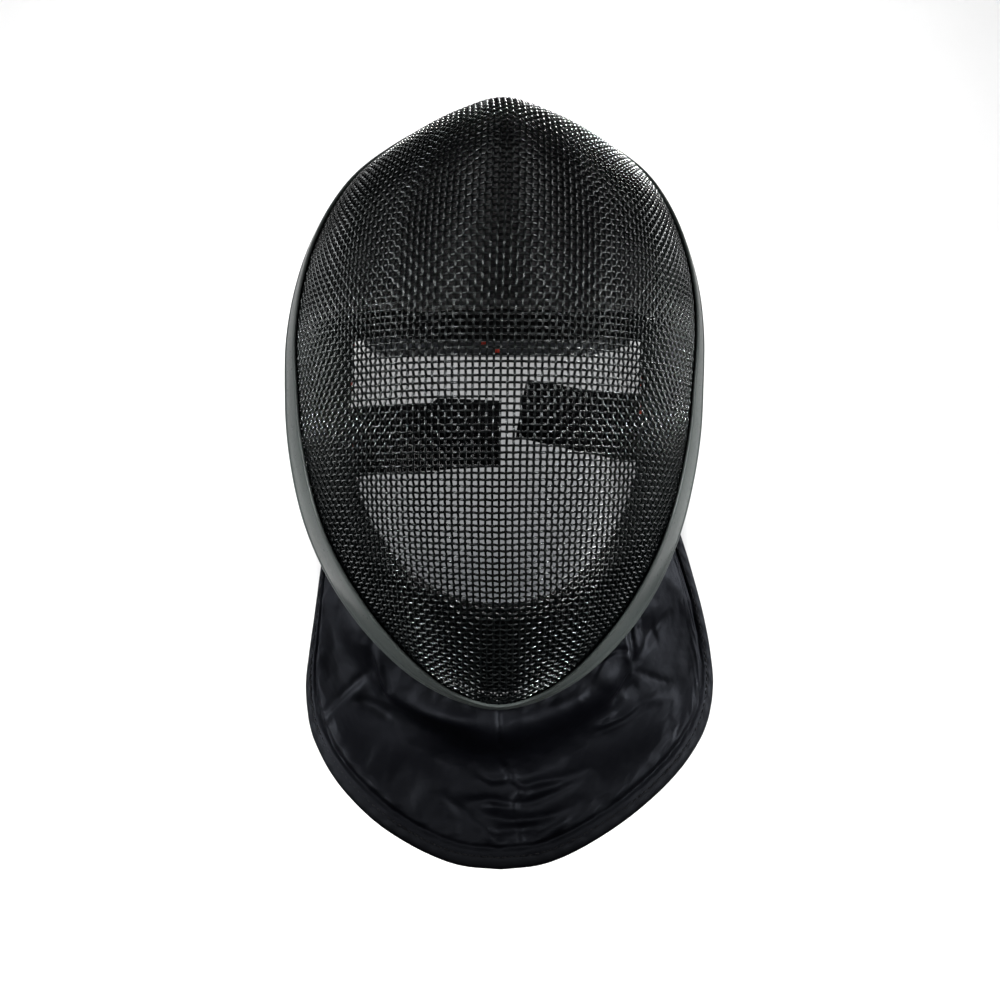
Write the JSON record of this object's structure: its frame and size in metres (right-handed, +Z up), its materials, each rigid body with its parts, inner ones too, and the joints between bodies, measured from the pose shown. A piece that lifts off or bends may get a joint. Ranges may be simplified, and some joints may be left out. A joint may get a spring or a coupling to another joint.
{
  "type": "fencing mask",
  "caption": "Black fencing mask: deep woven wire bowl with a moulded edge trim, inner pads, padded head tongue, two open back straps and a padded satin bib.",
  "frame": {"origin": "head seat: where the crown of the wearer's head meets the underside of the crown pad, on the middle plane", "axes": "+Z up as worn, -Y out through the face, +X to the right of someone who looks at the face"},
  "size_m": [0.2228, 0.1976, 0.3906],
  "materials": {
    "wire": "satin black lacquer",
    "trim": "satin",
    "crown_cloth": "matte brushed knit",
    "pad_cloth": "matte brushed knit",
    "tongue_cloth": "matte woven",
    "binding": "matte tape",
    "webbing": "matte woven",
    "bib_satin": "soft satin",
    "hem_tape": "soft satin"
  },
  "bodies": {
    "root": {"wire_bowl": "wire", "rim_trim": "trim", "crown_pad": "crown_cloth", "side_pad_left": "pad_cloth", "side_pad_right": "pad_cloth", "chin_pad": "pad_cloth", "head_tongue": "tongue_cloth", "tongue_binding": "binding", "back_strap_left": "webbing", "back_strap_right": "webbing", "bib": "bib_satin", "bib_hem": "hem_tape"}
  },
  "joints": []
}
